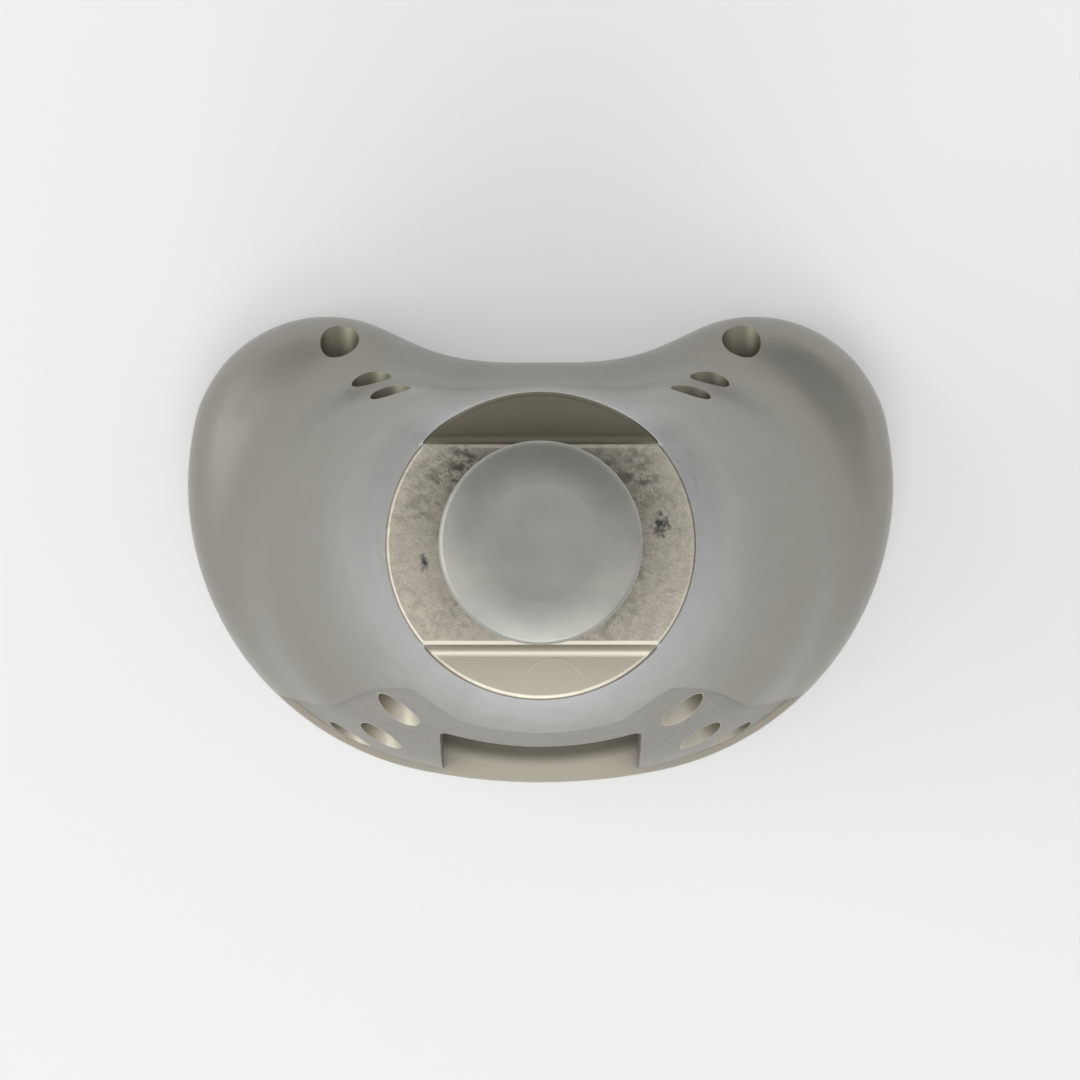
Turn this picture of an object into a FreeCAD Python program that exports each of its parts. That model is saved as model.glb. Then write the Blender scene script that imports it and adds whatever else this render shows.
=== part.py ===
import FreeCAD, Part
import math
import os

os.makedirs("parts", exist_ok=True)
Vector = FreeCAD.Vector

# Proximal tibial replacement: one casting with machined ends.
# Millimetres. It stands on the rim of its knee tray, at z = 0, with the stem end up.
# +Y is the back of the knee, -Y the front, and X runs from side to side.
# The origin is on the axis of the stem end, in the plane of the tray's rim.

# Outline of the knee tray, seen along the axis: a kidney of tangent arcs
TRAY_WIDTH = 74.0
TRAY_DEPTH = 48.7
FRONT_RADIUS = 63.9
SIDE_RADIUS = 30.5
LOBE_RADIUS = 14.2
HOLLOW_DEPTH = 4.85
HOLLOW_FLAT = 7.3

# Heights along the axis
BODY_HEIGHT = 66.0
RIM_HEIGHT = 5.0
NOTCH_DEPTH = 6.0

# Collar at the stem end, with a notch at the front and the back that stops a stem from turning
COLLAR_RADIUS = 14.0
TONGUE_WIDTH = 18.04
NOTCH_FILLET = 1.2
NOTCH_EDGE = 0.5
COLLAR_EDGE = 0.35

# How the wall opens from the collar to the tray. Each row of control points is a share of the
# height between rim and notch floor, then how far it has opened at the back and at the front.
FLARE_ROWS = [
    (0.04, 0.968, 0.998),
    (0.09, 0.865, 0.985),
    (0.16, 0.555, 0.975),
    (0.26, 0.400, 0.900),
    (0.36, 0.376, 0.638),
    (0.48, 0.270, 0.432),
    (0.64, 0.152, 0.232),
    (0.82, 0.069, 0.103),
]
NOTCH_ROW = (0.012, 0.010)
OUTLINE_STEPS = (2, 9, 8, 3)

# Taper that a stem is driven onto. Its end is flat in the middle and crowned towards the edge.
TAPER_LENGTH = 22.0
TAPER_BASE_RADIUS = 8.90
TAPER_END_RADIUS = 8.69
TAPER_FLAT_RADIUS = 5.0
TAPER_CROWN_RADIUS = 12.0
TAPER_EDGE_RADIUS = 0.5

# Holes for the sutures that tie the tendon and the capsule down, three in each wing
SUTURE_RADIUS = 2.0
SUTURE_PLACES = [(14.55, 26.0), (16.7, 18.5), (20.15, 11.0)]
SUTURE_SPLAY = 1.5

# Blasted bed for the tendon on the front face, and the pocket in its middle. In front view the bed
# has a flat top that rises to a rounded ear at each end, and straight sides down to a ledge.
LEDGE_HEIGHT = 8.0
BED_RECESS = 0.6
BED_TOP = 32.6
BED_FLAT_HALF = 8.0
BED_EAR_RADIUS = 1.6
BED_EAR_RISE = 1.4
BED_EAR_SHIFT = 2.95
BED_FOOT_MARGIN = 7.05
POCKET_WIDTH = 20.1
POCKET_TOP = 25.5
POCKET_BACK = 17.8
POCKET_CORNER = 1.0

# Tray for the plastic insert, and the bore for the sleeve of the hinge
TRAY_RIM_WALL = 2.2
TRAY_RECESS = 3.0
RIM_EDGE = 0.6
BORE_RADIUS = 7.5
BORE_END = 48.0
BORE_CHAMFER = 1.0

# How far a cutting shape runs past the surface that it cuts, how close two measures are when they
# count as the same, and how often the flare's control points are drawn closer to their outline
OVERRUN = 2.0
NEAR = 0.005
RING_PASSES = 30


def circle_point(centre, radius, angle):
    return Vector(centre.x + radius * math.cos(angle), centre.y + radius * math.sin(angle), 0)


def direction(start, end):
    return math.atan2(end.y - start.y, end.x - start.x)


def kidney_arcs(inset):
    """Right half of the kidney, from the front to the back, as (centre, radius, start, end) arcs.

    The side arc touches the front and lobe arcs from within. The hollow arc touches the lobe from
    outside, and its radius is the one that runs it smoothly into the flat at the middle of the back.
    """
    front = Vector(0, FRONT_RADIUS - TRAY_DEPTH / 2, 0)
    side_x = TRAY_WIDTH / 2 - SIDE_RADIUS
    side_y = front.y - math.sqrt((FRONT_RADIUS - SIDE_RADIUS) ** 2 - side_x ** 2)
    side = Vector(side_x, side_y, 0)
    lobe_y = TRAY_DEPTH / 2 - LOBE_RADIUS
    lobe_x = side_x + math.sqrt((SIDE_RADIUS - LOBE_RADIUS) ** 2 - (lobe_y - side_y) ** 2)
    lobe = Vector(lobe_x, lobe_y, 0)
    across = lobe_x - HOLLOW_FLAT / 2
    rise = LOBE_RADIUS - HOLLOW_DEPTH
    hollow_radius = (across ** 2 + rise ** 2 - LOBE_RADIUS ** 2) / (2 * HOLLOW_DEPTH)
    hollow = Vector(HOLLOW_FLAT / 2, lobe_y + rise + hollow_radius, 0)
    front_to_side = direction(front, side)
    side_to_lobe = direction(side, lobe)
    lobe_to_hollow = direction(lobe, hollow)
    return [
        (front, FRONT_RADIUS - inset, -math.pi / 2, front_to_side),
        (side, SIDE_RADIUS - inset, front_to_side, side_to_lobe),
        (lobe, LOBE_RADIUS - inset, side_to_lobe, lobe_to_hollow),
        (hollow, hollow_radius + inset, lobe_to_hollow - math.pi, -math.pi / 2),
    ]


def kidney_points(inset):
    """Points round the kidney from the front, closer together where it bends more."""
    right = []
    for (centre, radius, start, end), steps in zip(kidney_arcs(inset), OUTLINE_STEPS):
        for i in range(steps):
            right.append(circle_point(centre, radius, start + (end - start) * i / steps))
    right.append(circle_point(*kidney_arcs(inset)[-1][:2], -math.pi / 2))
    back_middle = Vector(0, right[-1].y, 0)
    left = [Vector(-p.x, p.y, 0) for p in reversed(right[1:])]
    return right + [back_middle] + left


def ring_of_controls(points):
    """Control points of a smooth closed curve that passes through the outline's points.

    A uniform cubic curve passes (before + 4 x own + after) / 6 beside each control point, so each
    is pulled outwards until that falls on the outline.
    """
    count = len(points)
    controls = list(points)
    for _ in range(RING_PASSES):
        passed = []
        for i in range(count):
            after = controls[(i + 1) % count]
            passed.append((controls[i - 1] + controls[i] * 4 + after) * (1 / 6))
        controls = [c + p - q for c, p, q in zip(controls, points, passed)]
    return controls


def flare(inset):
    """Solid body of the flare, from the tray's rim up to the collar's face, smaller by inset.

    Every level is a blend between the collar's circle and the kidney. The blend differs from back
    to front, because the front face leans out sooner than the back.
    """
    outline = kidney_points(inset)
    angles = [direction(Vector(), p) for p in outline]
    collar = [circle_point(Vector(), COLLAR_RADIUS - inset, angle) for angle in angles]
    circle = ring_of_controls(collar)
    kidney = ring_of_controls(outline)
    notch_floor = BODY_HEIGHT - NOTCH_DEPTH
    rows = [(0.0, 1.0, 1.0), (RIM_HEIGHT, 1.0, 1.0)]
    for share, back, front in FLARE_ROWS:
        rows.append((RIM_HEIGHT + share * (notch_floor - RIM_HEIGHT), back, front))
    rows += [(notch_floor, *NOTCH_ROW), (BODY_HEIGHT, 0.0, 0.0)]
    net = []
    for angle, near, far in zip(angles, circle, kidney):
        frontness = (1 - math.sin(angle)) / 2
        line = []
        for height, back, front in rows:
            opened = back + (front - back) * frontness
            line.append(near * (1 - opened) + far * opened + Vector(0, 0, height))
        net.append(line)
    spans = len(rows) - 3
    surface = Part.BSplineSurface()
    surface.buildFromPolesMultsKnots(
        net,
        [1] * (len(outline) + 1),
        [4] + [1] * (spans - 1) + [4],
        list(range(len(outline) + 1)),
        list(range(spans + 1)),
        True,
        False,
        3,
        3,
    )
    wall = surface.toShape()
    ends = []
    for edge in wall.Edges:
        low, high = edge.BoundBox.ZMin, edge.BoundBox.ZMax
        if high - low < NEAR:
            ends.append(Part.Face(Part.Wire(edge)))
    shell = Part.makeShell([wall] + ends)
    shell.sewShape()
    return Part.makeSolid(shell)


def edges_where(shape, test):
    return [edge for edge in shape.Edges if test(edge, edge.BoundBox)]


def at_height(box, height):
    return abs(box.ZMin - height) < NEAR and abs(box.ZMax - height) < NEAR


def notch_block(side):
    """What a cutter takes out of one notch; its lower inner edge leaves a fillet at the wall's foot."""
    half = TONGUE_WIDTH / 2
    reach = COLLAR_RADIUS + OVERRUN
    floor = BODY_HEIGHT - NOTCH_DEPTH
    start = half if side > 0 else -reach
    corner = Vector(-reach, start, floor)
    block = Part.makeBox(2 * reach, reach - half, NOTCH_DEPTH + OVERRUN, corner)

    def foot(edge, box):
        return at_height(box, floor) and box.YLength < NEAR and abs(abs(box.YMin) - half) < NEAR

    return block.makeFillet(NOTCH_FILLET, edges_where(block, foot))


def cut_notches(body):
    """Cut the front and back notches, and break their edges and those of the collar's face.

    The rounding of a tongue's corner runs on down the foot and round the edge of the notch floor.
    """
    half = TONGUE_WIDTH / 2
    foot_top = BODY_HEIGHT - NOTCH_DEPTH + NOTCH_FILLET
    for side in (-1, 1):
        body = body.cut(notch_block(side))

    def corner(edge, box):
        upright = abs(box.ZMin - foot_top) < NEAR and abs(box.ZMax - BODY_HEIGHT) < NEAR
        return upright and abs(abs(box.YMin) - half) < NEAR

    body = body.makeFillet(NOTCH_EDGE, edges_where(body, corner))

    def face_edge(edge, box):
        return at_height(box, BODY_HEIGHT)

    return body.makeChamfer(COLLAR_EDGE, edges_where(body, face_edge))


def taper():
    """Turned taper on the collar's face. Its crown touches the flat and, from within, the edge's arc."""
    foot = BODY_HEIGHT - OVERRUN
    top = BODY_HEIGHT + TAPER_LENGTH
    edge_x = TAPER_END_RADIUS - TAPER_EDGE_RADIUS
    lean = math.asin((edge_x - TAPER_FLAT_RADIUS) / (TAPER_CROWN_RADIUS - TAPER_EDGE_RADIUS))
    crown = Vector(TAPER_FLAT_RADIUS, 0, top - TAPER_CROWN_RADIUS)
    edge = crown + Vector(math.sin(lean), 0, math.cos(lean)) * (TAPER_CROWN_RADIUS - TAPER_EDGE_RADIUS)

    def crown_point(share):
        return crown + Vector(math.sin(share * lean), 0, math.cos(share * lean)) * TAPER_CROWN_RADIUS

    def edge_point(share):
        angle = lean + share * (math.pi / 2 - lean)
        return edge + Vector(math.sin(angle), 0, math.cos(angle)) * TAPER_EDGE_RADIUS

    base = Vector(TAPER_BASE_RADIUS, 0, BODY_HEIGHT)
    outline = [
        Part.LineSegment(Vector(0, 0, foot), Vector(TAPER_BASE_RADIUS, 0, foot)),
        Part.LineSegment(Vector(TAPER_BASE_RADIUS, 0, foot), base),
        Part.LineSegment(base, edge_point(1)),
        Part.Arc(edge_point(1), edge_point(0.5), edge_point(0)),
        Part.Arc(crown_point(1), crown_point(0.5), crown_point(0)),
        Part.LineSegment(crown_point(0), Vector(0, 0, top)),
        Part.LineSegment(Vector(0, 0, top), Vector(0, 0, foot)),
    ]
    face = Part.Face(Part.Wire([piece.toShape() for piece in outline]))
    return face.revolve(Vector(0, 0, 0), Vector(0, 0, 1), 360)


def kidney_prism(inset, low, high):
    """Upright block with the tray's outline, smaller by inset."""
    edges = []
    for centre, radius, start, end in kidney_arcs(inset):
        stops = [circle_point(centre, radius, start + (end - start) * t) for t in (0, 0.5, 1)]
        mirrored = [Vector(-p.x, p.y, 0) for p in stops]
        edges += [Part.Arc(*stops).toShape(), Part.Arc(*mirrored).toShape()]
    edges.append(Part.makeLine(stops[-1], mirrored[-1]))
    wire = Part.Wire(Part.__sortEdges__(edges))
    face = Part.Face(wire)
    face.translate(Vector(0, 0, low))
    return face.extrude(Vector(0, 0, high - low))


def insert_tray():
    """Recess for the plastic insert, and the bore in its floor for the hinge's sleeve."""
    recess = kidney_prism(TRAY_RIM_WALL, -OVERRUN, TRAY_RECESS)
    bore = Part.makeCylinder(BORE_RADIUS, BORE_END, Vector(0, 0, 0))
    mouth = Part.makeCone(
        BORE_RADIUS + BORE_CHAMFER, BORE_RADIUS, BORE_CHAMFER, Vector(0, 0, TRAY_RECESS)
    )
    return recess.fuse([bore, mouth])


def suture_hole(side, reach, height):
    """Cylinder through the wing from front to back, splayed outwards."""
    splay = math.radians(SUTURE_SPLAY)
    along = Vector(side * math.sin(splay), math.cos(splay), 0)
    centre = Vector(side * reach, 0, height)
    return Part.makeCylinder(SUTURE_RADIUS, 2 * TRAY_DEPTH, centre - along * TRAY_DEPTH, along)


def touch_point(start, centre, radius, side):
    """Where a line from start touches a circle that it passes on its left (1) or right (-1) side."""
    run, rise = centre[0] - start[0], centre[1] - start[1]
    slant = math.atan2(rise, run) + side * math.asin(radius / math.hypot(run, rise))
    length = math.sqrt(run ** 2 + rise ** 2 - radius ** 2)
    return (start[0] + length * math.cos(slant), start[1] + length * math.sin(slant))


def bed_region():
    """Block that covers the tendon bed in front view, with a disc for each ear."""
    ear = (SUTURE_PLACES[0][0] - BED_EAR_SHIFT, BED_TOP + BED_EAR_RISE)
    foot = (SUTURE_PLACES[-1][0] + BED_FOOT_MARGIN, LEDGE_HEIGHT)
    flat_end = (BED_FLAT_HALF, BED_TOP)
    side_touch = touch_point(foot, ear, BED_EAR_RADIUS, -1)
    top_touch = touch_point(flat_end, ear, BED_EAR_RADIUS, 1)
    corners = [foot, side_touch, ear, top_touch, flat_end]
    corners += [(-x, z) for x, z in reversed(corners)]
    corners.append(corners[0])
    outline = Part.Face(Part.makePolygon([Vector(x, 0, z) for x, z in corners]))
    forward = Vector(0, -1, 0)
    region = outline.extrude(forward * TRAY_DEPTH)
    for x in (-ear[0], ear[0]):
        region = region.fuse(Part.makeCylinder(BED_EAR_RADIUS, TRAY_DEPTH, Vector(x, 0, ear[1]), forward))
    return region


def pocket():
    """Block that opens the pocket to the front, from the ledge up, with its inner corners rounded."""
    block = Part.makeBox(
        POCKET_WIDTH,
        TRAY_DEPTH - POCKET_BACK,
        POCKET_TOP - LEDGE_HEIGHT,
        Vector(-POCKET_WIDTH / 2, -TRAY_DEPTH, LEDGE_HEIGHT),
    )

    def inner(edge, box):
        return box.ZMax > LEDGE_HEIGHT + NEAR and box.YMax > -POCKET_BACK - NEAR

    return block.makeFillet(POCKET_CORNER, edges_where(block, inner))


# Casting with its machined collar and taper
body = flare(0)


def tray_edge(edge, box):
    return at_height(box, 0)


body = body.makeChamfer(RIM_EDGE, edges_where(body, tray_edge))
body = cut_notches(body)
body = body.fuse(taper())

# Front face
body = body.cut(bed_region().cut(flare(BED_RECESS)))
body = body.cut(pocket())

# Suture holes
for side in (-1, 1):
    for reach, height in SUTURE_PLACES:
        body = body.cut(suture_hole(side, reach, height))

# Knee side
body = body.cut(insert_tray())

tibial_body = body
print("valid", tibial_body.isValid(), "solids", len(tibial_body.Solids))
print("volume", round(tibial_body.Volume), "box", tibial_body.BoundBox)
tibial_body.exportStep("parts/tibial_body.step")
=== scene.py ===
import math

import bpy
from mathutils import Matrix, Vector


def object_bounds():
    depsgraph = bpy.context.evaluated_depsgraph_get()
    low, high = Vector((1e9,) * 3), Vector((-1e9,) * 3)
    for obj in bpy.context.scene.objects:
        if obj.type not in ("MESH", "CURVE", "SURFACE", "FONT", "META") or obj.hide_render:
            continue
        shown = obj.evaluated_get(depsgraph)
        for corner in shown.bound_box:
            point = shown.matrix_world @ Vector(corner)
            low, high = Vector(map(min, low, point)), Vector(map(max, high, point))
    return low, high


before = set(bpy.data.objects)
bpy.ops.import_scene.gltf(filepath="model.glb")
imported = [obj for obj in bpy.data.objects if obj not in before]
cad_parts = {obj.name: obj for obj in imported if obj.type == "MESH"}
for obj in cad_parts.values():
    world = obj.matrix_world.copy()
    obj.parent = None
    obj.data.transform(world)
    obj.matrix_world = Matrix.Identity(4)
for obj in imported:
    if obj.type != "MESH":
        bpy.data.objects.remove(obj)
cad_low, cad_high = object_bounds()

# Tibial body: one casting in cobalt-chromium alloy, polished on its flank, with a blasted bed on
# the front face, drilled suture holes, and a collar, notches and taper that are turned and milled.
# It is one piece of metal, so one material holds all its finishes, each kept to its own zone.
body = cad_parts["tibial_body"]
MM = 0.001

metal = bpy.data.materials.new("cast_cobalt_chromium")
metal.use_nodes = True
tree = metal.node_tree
tree.nodes.clear()


def linear(sheet_colour):
    """Linear colour with alpha from sRGB hex: the curve is a line near black, then a power."""
    parts = [int(sheet_colour[i:i + 2], 16) / 255 for i in (0, 2, 4)]
    return [c / 12.92 if c <= 0.04045 else ((c + 0.055) / 1.055) ** 2.4 for c in parts] + [1.0]


def add(kind, feeds=None, out=0, **settings):
    """Adds a node, feeds its sockets with links or values, and gives one of its outputs."""
    node = tree.nodes.new(kind)
    for name, value in settings.items():
        setattr(node, name, value)
    for socket, value in (feeds or {}).items():
        if isinstance(value, bpy.types.NodeSocket):
            tree.links.new(value, node.inputs[socket])
        else:
            node.inputs[socket].default_value = value
    return node.outputs[out]


# Places on the casting, in millimetres: across, to the back, up, and out from the taper's axis.
# A zone stops a skin's thickness off the face that bounds it, so that the face lies in one zone.
place = add("ShaderNodeTexCoord", out="Object")
facing = add("ShaderNodeSeparateXYZ", {"Vector": place.node.outputs["Normal"]}, out="Z")
spot = add("ShaderNodeMapping", {"Vector": place, "Scale": (1 / MM, 1 / MM, 1 / MM)})
across = add("ShaderNodeSeparateXYZ", {"Vector": spot}, out="X")
back = across.node.outputs["Y"]
up = across.node.outputs["Z"]
flat = add("ShaderNodeVectorMath", {0: spot, 1: (1, 1, 0)}, operation="MULTIPLY")
radius = add("ShaderNodeVectorMath", {0: flat}, out="Value", operation="LENGTH")
aside = add("ShaderNodeMath", {0: across}, operation="ABSOLUTE")
SKIN = 0.05

# Corners and holes: painted shade is laid on there as a dark colour, thickest where least of the room
# is seen. Only the blasted, machined and drilled zones have it.
CORNER_REACH = 5.0
open_sky = add("ShaderNodeAmbientOcclusion", {"Distance": CORNER_REACH * MM}, out="AO", samples=4)
corner = add("ShaderNodeMath", {0: 1.0, 1: open_sky}, operation="SUBTRACT", use_clamp=True)

# Polished flank: taken to be belt-ground and mopped after casting. It gives soft, slightly wavy
# reflections with no grain. Towards the collar's neck its colour is a painted reflection, lighter and
# cooler.
NECK_REFLECTION_COLOUR = linear("BABCBD")
FLANK_COLOUR = linear("99978F")
NECK_TOP = 58.0
NECK_END = 30.0
neck = add(
    "ShaderNodeMapRange", {"Value": up, "From Min": NECK_END, "From Max": NECK_TOP},
    interpolation_type="SMOOTHSTEP",
)
flank_colour = add(
    "ShaderNodeMix", {"Factor": neck, "A": FLANK_COLOUR, "B": NECK_REFLECTION_COLOUR},
    out="Result", data_type="RGBA",
)
MOP_WAVE = 11.0
flank_wave = add("ShaderNodeTexNoise", {"Vector": spot, "Scale": 1 / MOP_WAVE, "Detail": 1.0})
HAZE_SIZE = 3.0
HAZE_BAND = (0.3, 0.7)
FLANK_ROUGHNESS = (0.27, 0.33)
haze = add("ShaderNodeTexNoise", {"Vector": spot, "Scale": 1 / HAZE_SIZE, "Detail": 3.0})
flank_roughness = add(
    "ShaderNodeMapRange",
    {"Value": haze, "From Min": HAZE_BAND[0], "From Max": HAZE_BAND[1],
     "To Min": FLANK_ROUGHNESS[0], "To Max": FLANK_ROUGHNESS[1]},
)

# Collar and notches: turned and milled, warmer and duller than the flank. The metal has a fine grain of
# pits in random patches. The pits, with painted shade under them, are strongest towards the back and
# round the foot of the taper, where the taper's shadow falls. The pits are drawn a fifth of a
# millimetre wide, about the finest that shows in the render.
NOTCH_FLOOR = 60.0
COLLAR_FACE = 66.0
COLLAR_RADIUS = 14.0
FLOOR_REACH = 0.6
UPWARD = 0.5
above_floor = add("ShaderNodeMath", {0: up, 1: NOTCH_FLOOR - SKIN}, operation="GREATER_THAN")
inside_rim = add("ShaderNodeMath", {0: radius, 1: COLLAR_RADIUS - SKIN}, operation="LESS_THAN")
turned = add("ShaderNodeMath", {0: above_floor, 1: inside_rim}, operation="MULTIPLY")
near_floor = add("ShaderNodeMath", {0: up, 1: NOTCH_FLOOR - FLOOR_REACH}, operation="GREATER_THAN")
facing_up = add("ShaderNodeMath", {0: facing, 1: UPWARD}, operation="GREATER_THAN")
milled = add("ShaderNodeMath", {0: near_floor, 1: facing_up}, operation="MULTIPLY")
machined = add("ShaderNodeMath", {0: turned, 1: milled}, operation="MAXIMUM")
on_taper = add("ShaderNodeMath", {0: up, 1: COLLAR_FACE + SKIN}, operation="GREATER_THAN")

MACHINED_COLOUR = linear("DAD4C5")
GRAIN_COLOUR = linear("C4BEAF")
PIT_COLOUR = linear("6C685E")
PIT_SIZE = 0.21
PIT_TURN = (0.4, 0.3, 0.5)
MOTTLE_SIZE = 0.8
CLOUD_SIZE = 4.0
GRAIN_BAND = (0.75, 1.25)
PIT_BAND = (0.52, 0.70)
PATCH_BAND = (0.40, 0.62)
MOTTLE_BAND = (0.44, 0.64)
pit_view = add("ShaderNodeMapping", {"Vector": spot, "Rotation": PIT_TURN})
pits = add("ShaderNodeTexNoise", {"Vector": pit_view, "Scale": 1 / PIT_SIZE, "Detail": 2.0})
mottle = add("ShaderNodeTexNoise", {"Vector": pit_view, "Scale": 1 / MOTTLE_SIZE, "Detail": 2.0})
clouds = add("ShaderNodeTexNoise", {"Vector": spot, "Scale": 1 / CLOUD_SIZE, "Detail": 3.0})
grain = add("ShaderNodeMath", {0: pits, 1: mottle}, operation="ADD")
grain_share = add(
    "ShaderNodeMapRange", {"Value": grain, "From Min": GRAIN_BAND[0], "From Max": GRAIN_BAND[1]}
)
machined_colour = add(
    "ShaderNodeMix", {"Factor": grain_share, "A": MACHINED_COLOUR, "B": GRAIN_COLOUR},
    out="Result", data_type="RGBA",
)
pit_level = add(
    "ShaderNodeMapRange", {"Value": pits, "From Min": PIT_BAND[0], "From Max": PIT_BAND[1]}
)
patches = add(
    "ShaderNodeMapRange", {"Value": clouds, "From Min": PATCH_BAND[0], "From Max": PATCH_BAND[1]}
)
TAPER_FOOT = 8.9
# Painted shade of the taper on the collar's face: strongest at the taper's foot and towards the back,
# with a base share laid on even between the pits, and less towards the notch floors
TAPER_SHADE_REACH = 4.6
TAPER_SHADE_OUTSIDE = 0.15
TAPER_SHADE_FRONT = -4.0
TAPER_SHADE_BACK = 7.0
TAPER_SHADE_AT_FRONT = 0.35
PIT_AND_SHADE_IN_NOTCH = 0.25
TAPER_SHADE_BASE = 0.35
FACE_EDGE = 0.5
by_taper = add(
    "ShaderNodeMapRange",
    {"Value": radius, "From Min": TAPER_FOOT, "From Max": TAPER_FOOT + TAPER_SHADE_REACH,
     "To Min": 1.0, "To Max": TAPER_SHADE_OUTSIDE},
)
at_back = add(
    "ShaderNodeMapRange",
    {"Value": back, "From Min": TAPER_SHADE_FRONT, "From Max": TAPER_SHADE_BACK, "To Min": TAPER_SHADE_AT_FRONT},
)
taper_shade = add("ShaderNodeMath", {0: by_taper, 1: at_back}, operation="MULTIPLY")
mottle_level = add(
    "ShaderNodeMapRange", {"Value": mottle, "From Min": MOTTLE_BAND[0], "From Max": MOTTLE_BAND[1]}
)
speckle = add("ShaderNodeMath", {0: pit_level, 1: mottle_level}, operation="MAXIMUM")
speckle = add("ShaderNodeMath", {0: speckle, 1: patches}, operation="MULTIPLY")
on_face = add(
    "ShaderNodeMapRange",
    {"Value": up, "From Min": NOTCH_FLOOR + FACE_EDGE, "From Max": COLLAR_FACE - FACE_EDGE,
     "To Min": PIT_AND_SHADE_IN_NOTCH},
)
speckle = add("ShaderNodeMath", {0: speckle, 1: TAPER_SHADE_BASE}, operation="ADD")
pits_and_shade = add("ShaderNodeMath", {0: speckle, 1: taper_shade}, operation="MULTIPLY")
pits_and_shade = add("ShaderNodeMath", {0: pits_and_shade, 1: on_face}, operation="MULTIPLY", use_clamp=True)
machined_colour = add(
    "ShaderNodeMix", {"Factor": pits_and_shade, "A": machined_colour, "B": PIT_COLOUR},
    out="Result", data_type="RGBA",
)

# Notch floors: milled, smoother than the turned face. The back one has a dull olive colour of painted
# shade, with a darker band of painted shade next to the wall; the front one has a lighter colour of
# painted light, and its wall and fillet a greyer painted shade that takes down their highlight.
LIT_FRONT_NOTCH_COLOUR = linear("CFC9B9")
SHADED_BACK_NOTCH_COLOUR = linear("878270")
WALL_BAND_SHADE_COLOUR = linear("837E6C")
NOTCH_CLEAN = 0.9
NOTCH_TOP = 1.0
BAND_END = 11.05
at_wall = add("ShaderNodeMath", {0: back, 1: BAND_END}, operation="LESS_THAN")
shaded_back_floor = add(
    "ShaderNodeMix", {"Factor": at_wall, "A": SHADED_BACK_NOTCH_COLOUR, "B": WALL_BAND_SHADE_COLOUR},
    out="Result", data_type="RGBA",
)
behind = add("ShaderNodeMath", {0: back, 1: 0.0}, operation="GREATER_THAN")
floor_colour = add(
    "ShaderNodeMix", {"Factor": behind, "A": LIT_FRONT_NOTCH_COLOUR, "B": shaded_back_floor},
    out="Result", data_type="RGBA",
)
FRONT_WALL_SHADE_COLOUR = linear("A09B8D")
WALL_START = 0.03
WALL_FULL = 0.12
on_wall = add(
    "ShaderNodeMapRange",
    {"Value": up, "From Min": NOTCH_FLOOR + WALL_START, "From Max": NOTCH_FLOOR + WALL_FULL},
)
front_wall_shade = add("ShaderNodeMath", {0: 1.0, 1: behind}, operation="SUBTRACT")
front_wall_shade = add("ShaderNodeMath", {0: front_wall_shade, 1: on_wall}, operation="MULTIPLY")
floor_colour = add(
    "ShaderNodeMix", {"Factor": front_wall_shade, "A": floor_colour, "B": FRONT_WALL_SHADE_COLOUR},
    out="Result", data_type="RGBA",
)
below_face = add("ShaderNodeMath", {0: up, 1: COLLAR_FACE - NOTCH_TOP}, operation="LESS_THAN")
in_notch = add("ShaderNodeMath", {0: below_face, 1: NOTCH_CLEAN}, operation="MULTIPLY")
machined_colour = add(
    "ShaderNodeMix", {"Factor": in_notch, "A": machined_colour, "B": floor_colour},
    out="Result", data_type="RGBA",
)

# Chamfer round the collar's face: about a third of a millimetre wide in the same metal, with a painted
# highlight in the front half, where it faces the light
CHAMFER_HIGHLIGHT_COLOUR = linear("F2ECDC")
CHAMFER_FACING = (0.45, 0.9)
HIGHLIGHT_FULL = -9.0
HIGHLIGHT_END = -1.0
over_floor = add("ShaderNodeMath", {0: up, 1: COLLAR_FACE - FACE_EDGE}, operation="GREATER_THAN")
slanted = add("ShaderNodeMath", {0: facing, 1: CHAMFER_FACING[1]}, operation="LESS_THAN")
chamfer_highlight = add("ShaderNodeMath", {0: facing, 1: CHAMFER_FACING[0]}, operation="GREATER_THAN")
chamfer_highlight = add("ShaderNodeMath", {0: chamfer_highlight, 1: slanted}, operation="MULTIPLY")
chamfer_highlight = add("ShaderNodeMath", {0: chamfer_highlight, 1: over_floor}, operation="MULTIPLY")
to_front = add(
    "ShaderNodeMapRange",
    {"Value": back, "From Min": HIGHLIGHT_FULL, "From Max": HIGHLIGHT_END, "To Min": 1.0, "To Max": 0.0},
)
chamfer_highlight = add("ShaderNodeMath", {0: chamfer_highlight, 1: to_front}, operation="MULTIPLY")
machined_colour = add(
    "ShaderNodeMix", {"Factor": chamfer_highlight, "A": machined_colour, "B": CHAMFER_HIGHLIGHT_COLOUR},
    out="Result", data_type="RGBA",
)

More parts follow.
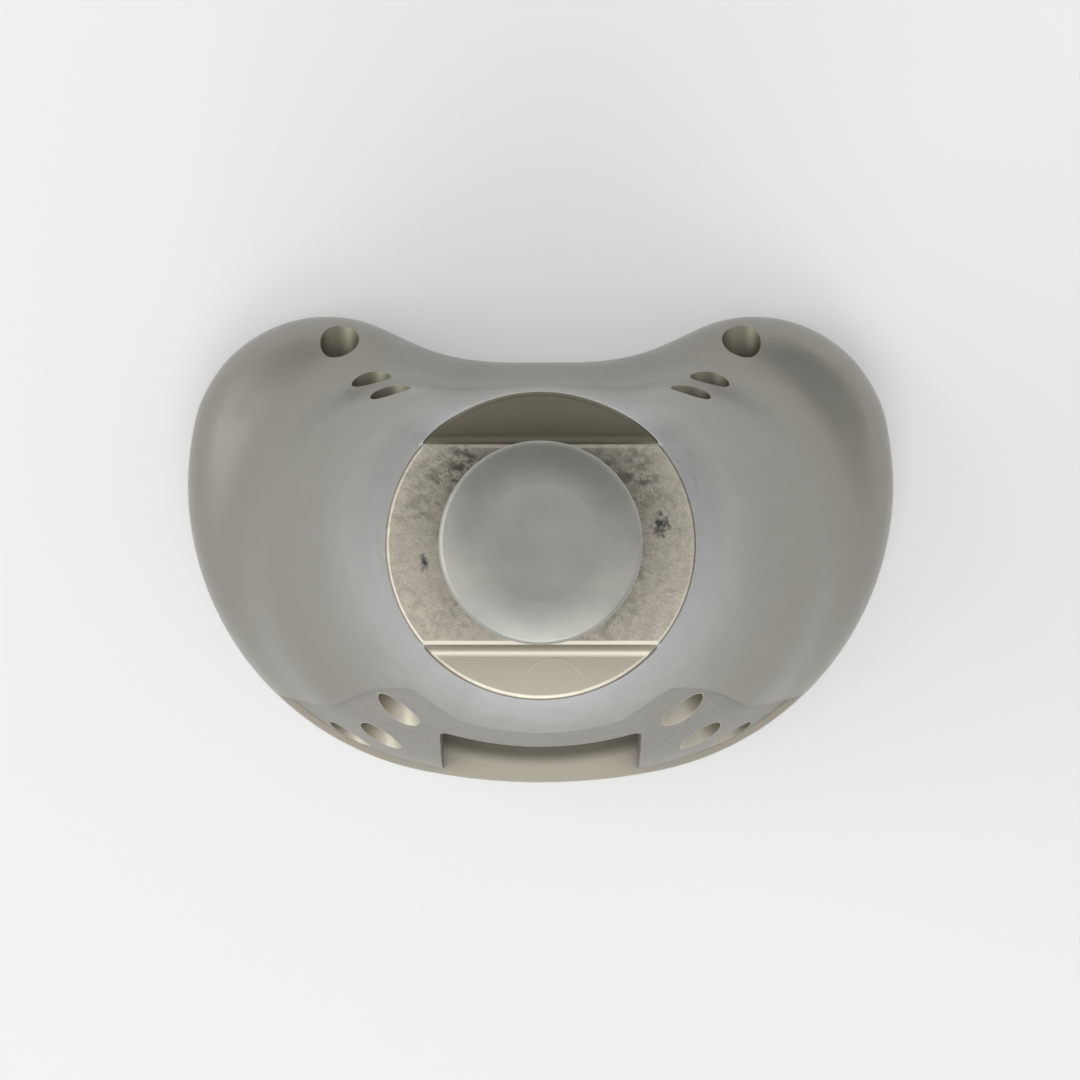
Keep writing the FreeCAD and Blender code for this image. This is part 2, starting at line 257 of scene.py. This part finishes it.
# Two small blue-black smudges on the collar's face, taken to be marking ink, with no set shape.
# Each has its middle and its half widths, across and to the back.
INK_COLOUR = linear("3F3F49")
INK_GRAIN = 0.45
INK_RAG = 3.0
INK_BAND = (1.7, 2.7)
INK_DARK = 0.9
SMUDGES = (((10.85, 1.76), (0.75, 1.05)), ((-10.5, -1.67), (0.38, 0.70)))
ink_grain = add("ShaderNodeTexNoise", {"Vector": spot, "Scale": 1 / INK_GRAIN, "Detail": 2.0})
ink = 0.0
for smudge, half in SMUDGES:
    smudge_view = add(
        "ShaderNodeMapping",
        {"Vector": flat, "Location": (-smudge[0] / half[0], -smudge[1] / half[1], 0),
         "Scale": (1 / half[0], 1 / half[1], 1)},
    )
    far = add("ShaderNodeVectorMath", {0: smudge_view}, out="Value", operation="LENGTH")
    ragged = add("ShaderNodeMath", {0: ink_grain, 1: INK_RAG, 2: far}, operation="MULTIPLY_ADD")
    mark = add(
        "ShaderNodeMapRange",
        {"Value": ragged, "From Min": INK_BAND[0], "From Max": INK_BAND[1],
         "To Min": INK_DARK, "To Max": 0.0},
    )
    ink = add("ShaderNodeMath", {0: mark, 1: ink}, operation="MAXIMUM")
machined_colour = add(
    "ShaderNodeMix", {"Factor": ink, "A": machined_colour, "B": INK_COLOUR},
    out="Result", data_type="RGBA",
)

# Taper for the stem: part of the same casting, finely turned and cleaner than the collar, with
# faint grey clouds on it and no pits
TAPER_COLOUR = linear("B1B0A9")
TAPER_CLOUD = linear("A6A7A1")
TAPER_BAND = (0.35, 0.70)
taper_cloud = add(
    "ShaderNodeMapRange", {"Value": clouds, "From Min": TAPER_BAND[0], "From Max": TAPER_BAND[1]}
)
taper_colour = add(
    "ShaderNodeMix", {"Factor": taper_cloud, "A": TAPER_COLOUR, "B": TAPER_CLOUD},
    out="Result", data_type="RGBA",
)
turned_colour = add(
    "ShaderNodeMix", {"Factor": on_taper, "A": machined_colour, "B": taper_colour},
    out="Result", data_type="RGBA",
)

# Edge line: a thin dark line of painted shade where the collar's broken edge meets the polished flank.
# It lies a little further out at the notch floors, where the body is wider.
EDGE_SHADE_COLOUR = linear("605C52")
EDGE_START = 13.80
EDGE_SPREAD = 0.04
EDGE_WIDTH = 0.10
EDGE_DARK = 0.8
edge_from = add(
    "ShaderNodeMath", {0: up, 1: -EDGE_SPREAD, 2: EDGE_START + EDGE_SPREAD * COLLAR_FACE},
    operation="MULTIPLY_ADD",
)
past_edge = add("ShaderNodeMath", {0: radius, 1: edge_from}, operation="SUBTRACT")
edge_shade = add(
    "ShaderNodeMapRange", {"Value": past_edge, "From Max": EDGE_WIDTH, "To Max": EDGE_DARK}
)
edge_shade = add("ShaderNodeMath", {0: edge_shade, 1: milled}, operation="MULTIPLY")

# Tendon bed: a shallow field on the front face, blasted with grit. In front view it has a flat top
# with a rounded ear at each end, and straight sides down to the ledge. The dents are drawn about
# a third of a millimetre wide so that they show; blasting usually leaves finer ones.
LEDGE = 8.0
BED_TOP = 32.6
FLAT_END = 8.0
EAR = (11.6, 34.0)
EAR_RADIUS = 1.6
FOOT = 27.2
FRONT_SIDE = -10.0
ear_view = add("ShaderNodeCombineXYZ", {"X": aside, "Z": up})
ear_far = add(
    "ShaderNodeVectorMath", {0: ear_view, 1: (EAR[0], 0, EAR[1])}, out="Value", operation="DISTANCE"
)
past_ear = add("ShaderNodeMath", {0: ear_far, 1: EAR_RADIUS}, operation="SUBTRACT")
past_lines = []
for start, hand in (((FOOT, LEDGE), -1), ((FLAT_END, BED_TOP), 1)):
    run = EAR[0] - start[0]
    rise = EAR[1] - start[1]
    slant = math.atan2(rise, run) + hand * math.asin(EAR_RADIUS / math.hypot(run, rise))
    outward = (-hand * math.sin(slant), 0, hand * math.cos(slant))
    reach = outward[0] * start[0] + outward[2] * start[1]
    along = add(
        "ShaderNodeVectorMath", {0: ear_view, 1: outward}, out="Value", operation="DOT_PRODUCT"
    )
    past_lines.append(add("ShaderNodeMath", {0: along, 1: reach}, operation="SUBTRACT"))
past_shoulder = add("ShaderNodeMath", {0: up, 1: EAR[1]}, operation="SUBTRACT")
past_top = add("ShaderNodeMath", {0: up, 1: BED_TOP}, operation="SUBTRACT")
past_neck = add("ShaderNodeMath", {0: past_lines[1], 1: past_shoulder}, operation="MAXIMUM")
past_upper = add("ShaderNodeMath", {0: past_neck, 1: past_top}, operation="MINIMUM")
past_sides = add("ShaderNodeMath", {0: past_lines[0], 1: past_upper}, operation="MAXIMUM")
past_bed = add("ShaderNodeMath", {0: past_sides, 1: past_ear}, operation="MINIMUM")
in_field = add("ShaderNodeMath", {0: past_bed, 1: SKIN}, operation="LESS_THAN")
in_front = add("ShaderNodeMath", {0: back, 1: FRONT_SIDE}, operation="LESS_THAN")
above_ledge = add("ShaderNodeMath", {0: up, 1: LEDGE - SKIN}, operation="GREATER_THAN")
in_front = add("ShaderNodeMath", {0: in_front, 1: above_ledge}, operation="MULTIPLY")
bed = add("ShaderNodeMath", {0: in_field, 1: in_front}, operation="MULTIPLY")

BED_COLOUR = linear("A8A6A0")
BED_SHADE = linear("9D9B94")
GRIT_SIZE = 0.30
GRIT_BAND = (0.35, 0.65)
grit = add("ShaderNodeTexNoise", {"Vector": spot, "Scale": 1 / GRIT_SIZE, "Detail": 3.0})
bed_share = add(
    "ShaderNodeMapRange", {"Value": grit, "From Min": GRIT_BAND[0], "From Max": GRIT_BAND[1]}
)
bed_colour = add(
    "ShaderNodeMix", {"Factor": bed_share, "A": BED_COLOUR, "B": BED_SHADE},
    out="Result", data_type="RGBA",
)

# Floor of the pocket in the bed: the shade under the pocket's top is laid on as a darker colour,
# along the bowed line of that top edge, and the floor is warm grey at the rim
POCKET_DARK = linear("7A766B")
POCKET_LEDGE = linear("C4BEB0")
TOP_EDGE_BOW = 0.0147
SHADE_FULL = 21.2
SHADE_END = 22.8
bow = add("ShaderNodeMath", {0: across, 1: across}, operation="MULTIPLY")
under_top = add("ShaderNodeMath", {0: bow, 1: TOP_EDGE_BOW}, operation="MULTIPLY")
under_top = add("ShaderNodeMath", {0: under_top, 1: back}, operation="SUBTRACT")
shade = add(
    "ShaderNodeMapRange",
    {"Value": under_top, "From Min": SHADE_FULL, "From Max": SHADE_END,
     "To Min": 1.0, "To Max": 0.0},
    interpolation_type="SMOOTHSTEP",
)
ledge_colour = add(
    "ShaderNodeMix", {"Factor": shade, "A": POCKET_LEDGE, "B": POCKET_DARK},
    out="Result", data_type="RGBA",
)
on_ledge = add("ShaderNodeMath", {0: up, 1: LEDGE + SKIN}, operation="LESS_THAN")
bed_colour = add(
    "ShaderNodeMix", {"Factor": on_ledge, "A": bed_colour, "B": ledge_colour},
    out="Result", data_type="RGBA",
)

# Suture holes: three drilled through each wing, with a small splay, and dull inside. Their colour is
# painted light towards the front mouth, where light falls in, and painted shade towards the back. Each
# has its distance from the middle and its height.
HOLES = ((14.55, 26.0), (16.7, 18.5), (20.15, 11.0))
HOLE_RADIUS = 2.0
HOLE_SPLAY = math.tan(math.radians(1.5))
LIT_HOLE_COLOUR = linear("D8D3C4")
SHADED_HOLE_COLOUR = linear("A5A190")
LIGHT_END = -14.0
HOLE_SHADE_START = -4.0
FAR_AWAY = 100.0
hole_aside = add("ShaderNodeMath", {0: back, 1: -HOLE_SPLAY, 2: aside}, operation="MULTIPLY_ADD")
hole_view = add("ShaderNodeCombineXYZ", {"X": hole_aside, "Z": up})
hole_far = FAR_AWAY
for reach, height in HOLES:
    far = add(
        "ShaderNodeVectorMath", {0: hole_view, 1: (reach, 0, height)}, out="Value", operation="DISTANCE"
    )
    hole_far = add("ShaderNodeMath", {0: far, 1: hole_far}, operation="MINIMUM")
hole_shade = add("ShaderNodeMapRange", {"Value": back, "From Min": LIGHT_END, "From Max": HOLE_SHADE_START})
hole_colour = add(
    "ShaderNodeMix", {"Factor": hole_shade, "A": LIT_HOLE_COLOUR, "B": SHADED_HOLE_COLOUR},
    out="Result", data_type="RGBA",
)
drilled = add("ShaderNodeMath", {0: hole_far, 1: HOLE_RADIUS + SKIN}, operation="LESS_THAN")

# Bore for the hinge's sleeve: a blind hole in the same metal, bored from the knee side and smoother
# than the other machined faces
BORE_RADIUS = 7.5
BORE_MOUTH = 1.0
BORE_END = 48.0
BORE_REACH = BORE_RADIUS + BORE_MOUTH + SKIN
in_bore = add("ShaderNodeMath", {0: radius, 1: BORE_REACH}, operation="LESS_THAN")
below_end = add("ShaderNodeMath", {0: up, 1: BORE_END + SKIN}, operation="LESS_THAN")
bored = add("ShaderNodeMath", {0: in_bore, 1: below_end}, operation="MULTIPLY")
BORE_COLOUR = linear("A5A29A")

# Finish of the whole casting: each zone's colour and roughness is laid over the flank's, and the
# painted corner shade comes last
colour = flank_colour
for zone, zone_colour in (
    (bed, bed_colour),
    (machined, turned_colour),
    (edge_shade, EDGE_SHADE_COLOUR),
    (drilled, hole_colour),
    (bored, BORE_COLOUR),
):
    colour = add(
        "ShaderNodeMix", {"Factor": zone, "A": colour, "B": zone_colour},
        out="Result", data_type="RGBA",
    )
BED_ROUGHNESS = 0.55
MACHINED_ROUGHNESS = 0.45
HOLE_ROUGHNESS = 0.55
BORE_ROUGHNESS = 0.35
roughness = flank_roughness
for zone, zone_roughness in (
    (bed, BED_ROUGHNESS),
    (machined, MACHINED_ROUGHNESS),
    (drilled, HOLE_ROUGHNESS),
    (bored, BORE_ROUGHNESS),
):
    roughness = add("ShaderNodeMix", {"Factor": zone, "A": roughness, "B": zone_roughness})
# Painted shade: a dark colour laid on in the corners and holes of the rough zones
CORNER_SHADE_COLOUR = linear("55534A")
CORNER_SHADE_SHARE = 0.55
rough_zone = add("ShaderNodeMath", {0: bed, 1: machined}, operation="MAXIMUM")
rough_zone = add("ShaderNodeMath", {0: rough_zone, 1: drilled}, operation="MAXIMUM")
corner_shade = add("ShaderNodeMath", {0: rough_zone, 1: corner}, operation="MULTIPLY")
corner_shade = add("ShaderNodeMath", {0: corner_shade, 1: CORNER_SHADE_SHARE}, operation="MULTIPLY")
colour = add(
    "ShaderNodeMix", {"Factor": corner_shade, "A": colour, "B": CORNER_SHADE_COLOUR},
    out="Result", data_type="RGBA",
)

# Relief: the flank's slow wave, the bed's grit, the pits of the collar's face, and the arcs that
# the end mill left on the notch floors
WAVE_HEIGHT = 0.02 * MM
GRIT_HEIGHT = 0.012 * MM
PIT_DEPTH = 0.006 * MM
MILL_RADIUS = 3.2
MILL_STEP = 5.7
MILL_HEIGHT = 0.008 * MM
MILL_SHIFT = 1.2
MILL_LINE = 13.6
MILL_WIDTH = 0.14
grit_height = add("ShaderNodeMath", {0: grit, 1: bed}, operation="MULTIPLY")
off_taper = add("ShaderNodeMath", {0: up, 1: COLLAR_FACE + SKIN}, operation="LESS_THAN")
on_collar = add("ShaderNodeMath", {0: off_taper, 1: below_face}, operation="SUBTRACT")
pit_height = add("ShaderNodeMath", {0: pit_level, 1: machined}, operation="MULTIPLY")
pit_height = add("ShaderNodeMath", {0: pit_height, 1: on_collar}, operation="MULTIPLY")
mill_across = add("ShaderNodeMath", {0: across, 1: MILL_SHIFT}, operation="SUBTRACT")
mill_across = add("ShaderNodeMath", {0: mill_across, 1: MILL_STEP}, operation="PINGPONG")
depth_in = add("ShaderNodeMath", {0: back}, operation="ABSOLUTE")
mill_view = add("ShaderNodeCombineXYZ", {"X": mill_across, "Y": depth_in})
mill_far = add(
    "ShaderNodeVectorMath", {0: mill_view, 1: (0, MILL_LINE, 0)}, out="Value", operation="DISTANCE"
)
mill_ring = add("ShaderNodeMath", {0: mill_far, 1: MILL_RADIUS}, operation="SUBTRACT")
mill_ring = add("ShaderNodeMath", {0: mill_ring}, operation="ABSOLUTE")
mill_ridge = add(
    "ShaderNodeMapRange",
    {"Value": mill_ring, "From Max": MILL_WIDTH, "To Min": 1.0, "To Max": 0.0},
)
mill_ridge = add("ShaderNodeMath", {0: mill_ridge, 1: below_face}, operation="MULTIPLY")
mill_ridge = add("ShaderNodeMath", {0: mill_ridge, 1: milled}, operation="MULTIPLY")
mill_ridge = add("ShaderNodeMath", {0: mill_ridge, 1: patches}, operation="MULTIPLY")
relief = add("ShaderNodeBump", {"Height": flank_wave, "Distance": WAVE_HEIGHT, "Strength": 1.0})
for height, distance in (
    (grit_height, GRIT_HEIGHT),
    (pit_height, PIT_DEPTH),
    (mill_ridge, MILL_HEIGHT),
):
    relief = add(
        "ShaderNodeBump",
        {"Height": height, "Distance": distance, "Strength": 1.0, "Normal": relief},
    )
surface = add(
    "ShaderNodeBsdfPrincipled",
    {"Base Color": colour, "Metallic": 1.0, "Roughness": roughness, "Normal": relief},
)
output = tree.nodes.new("ShaderNodeOutputMaterial")
tree.links.new(surface, output.inputs["Surface"])
for place_in_mesh in body.material_slots:
    place_in_mesh.material = metal

# Floor: a wide sheet of matt white paper that the tray's rim stands on. It takes the body's soft
# shadow, and a little light of its own, for the camera and reflections, keeps it near white.
FLOOR_HALF = 2.0
floor_mesh = bpy.data.meshes.new("floor")
corners = [(-FLOOR_HALF, -FLOOR_HALF, 0), (FLOOR_HALF, -FLOOR_HALF, 0)]
corners += [(FLOOR_HALF, FLOOR_HALF, 0), (-FLOOR_HALF, FLOOR_HALF, 0)]
floor_mesh.from_pydata(corners, [], [(0, 1, 2, 3)])
floor = bpy.data.objects.new("floor", floor_mesh)
bpy.context.scene.collection.objects.link(floor)
paper = bpy.data.materials.new("white_paper")
paper.use_nodes = True
tree = paper.node_tree
tree.nodes.clear()
PAPER_WHITE = 0.92
PAPER_LIFT = 0.3
rays = add("ShaderNodeLightPath", out="Is Camera Ray")
seen = add(
    "ShaderNodeMath", {0: rays, 1: rays.node.outputs["Is Glossy Ray"]}, operation="MAXIMUM"
)
seen = add(
    "ShaderNodeMath", {0: seen, 1: rays.node.outputs["Is Transmission Ray"]}, operation="MAXIMUM"
)
lift = add("ShaderNodeMath", {0: seen, 1: PAPER_LIFT}, operation="MULTIPLY")
matt = add("ShaderNodeBsdfDiffuse", {"Color": (PAPER_WHITE, PAPER_WHITE, PAPER_WHITE, 1)})
white = add("ShaderNodeEmission", {"Color": (1, 1, 1, 1), "Strength": 1.0})
sheet = add("ShaderNodeMixShader", {0: lift, 1: matt, 2: white})
output = tree.nodes.new("ShaderNodeOutputMaterial")
tree.links.new(sheet, output.inputs["Surface"])
floor_mesh.materials.append(paper)

# Studio: pale walls under a ceiling that is darker towards the back. Each wall has its direction,
# its light near the floor and its light half-way up, and the left one is brightest near the floor.
world = bpy.data.worlds.new("studio")
bpy.context.scene.world = world
world.use_nodes = True
tree = world.node_tree
tree.nodes.clear()
WALLS = (
    ((0, -1, 0), 0.9, 0.5),
    ((-1, 0, 0), 1.5, 0.3),
    ((0, 1, 0), 0.3, 0.6),
    ((1, 0, 0), 0.5, 0.8),
)
CEILING_FRONT = 1.1
CEILING_BACK = 0.12
CEILING_SPAN = 0.35
MIDDLE_BAND = (0.15, 0.40)
CEILING_BAND = (0.60, 0.85)
towards = add("ShaderNodeTexCoord", out="Generated")
north = add("ShaderNodeSeparateXYZ", {"Vector": towards}, out="Y")
height = north.node.outputs["Z"]
level_view = add("ShaderNodeVectorMath", {0: towards, 1: (1, 1, 0)}, operation="MULTIPLY")
level_view = add("ShaderNodeVectorMath", {0: level_view}, operation="NORMALIZE")
above_low = add(
    "ShaderNodeMapRange",
    {"Value": height, "From Min": MIDDLE_BAND[0], "From Max": MIDDLE_BAND[1]},
    interpolation_type="SMOOTHSTEP",
)
walls = 0.0
for side, low, middle in WALLS:
    turned_to = add(
        "ShaderNodeVectorMath", {0: level_view, 1: side}, out="Value", operation="DOT_PRODUCT"
    )
    turned_to = add("ShaderNodeMath", {0: turned_to, 1: 0.0}, operation="MAXIMUM")
    share = add("ShaderNodeMath", {0: turned_to, 1: turned_to}, operation="MULTIPLY")
    side_level = add("ShaderNodeMix", {"Factor": above_low, "A": low, "B": middle})
    walls = add("ShaderNodeMath", {0: side_level, 1: share, 2: walls}, operation="MULTIPLY_ADD")
ceiling = add(
    "ShaderNodeMapRange",
    {"Value": north, "From Min": -CEILING_SPAN, "From Max": CEILING_SPAN,
     "To Min": CEILING_FRONT, "To Max": CEILING_BACK},
    interpolation_type="SMOOTHSTEP",
)
above_walls = add(
    "ShaderNodeMapRange",
    {"Value": height, "From Min": CEILING_BAND[0], "From Max": CEILING_BAND[1]},
    interpolation_type="SMOOTHSTEP",
)
level = add("ShaderNodeMix", {"Factor": above_walls, "A": walls, "B": ceiling})
room = add("ShaderNodeBackground", {"Color": (1, 1, 1, 1), "Strength": level})
output = tree.nodes.new("ShaderNodeOutputWorld")
tree.links.new(room, output.inputs["Surface"])


def softbox(name, azimuth, elevation, distance, width, height, radiance):
    """Area lamp on a sphere round the body's middle, facing it; power is pi x area x radiance."""
    aim = Vector((0, 0, (cad_low[2] + cad_high[2]) / 2))
    turn, lift = math.radians(azimuth), math.radians(elevation)
    out = Vector((math.cos(lift) * math.cos(turn), math.cos(lift) * math.sin(turn), math.sin(lift)))
    lamp = bpy.data.lights.new(name, "AREA")
    lamp.shape = "RECTANGLE"
    lamp.size = width
    lamp.size_y = height
    lamp.energy = math.pi * width * height * radiance
    holder = bpy.data.objects.new(name, lamp)
    holder.location = aim + out * distance
    holder.rotation_euler = (-out).to_track_quat("-Z", "Y").to_euler()
    bpy.context.scene.collection.objects.link(holder)


softbox(
    "side_softbox", azimuth=182, elevation=36, distance=0.9, width=0.8, height=0.5, radiance=1.9
)
softbox(
    "front_softbox", azimuth=-92, elevation=45, distance=0.9, width=0.6, height=0.4, radiance=2.7
)

# Camera: close to the axis of the taper, above the stem end, looking down at the body with its
# front face towards the bottom edge of the frame
SENSOR = 36.0
LENS = 140.7
CLIP = 0.01
CAMERA_PLACE = (0, -2.6, 446)
camera_data = bpy.data.cameras.new("camera")
camera_data.sensor_width = SENSOR
camera_data.lens = LENS
camera_data.clip_start = CLIP
camera = bpy.data.objects.new("camera", camera_data)
camera.location = Vector(CAMERA_PLACE) * MM
AIM_BACK = 3.0
AIM_LEFT = 0.05
AIM_DOWN = 380.0
camera.rotation_euler = (math.atan2(AIM_BACK, AIM_DOWN), math.atan2(AIM_LEFT, AIM_DOWN), 0)
bpy.context.scene.collection.objects.link(camera)
bpy.context.scene.camera = camera
bpy.context.scene.view_settings.view_transform = "Standard"
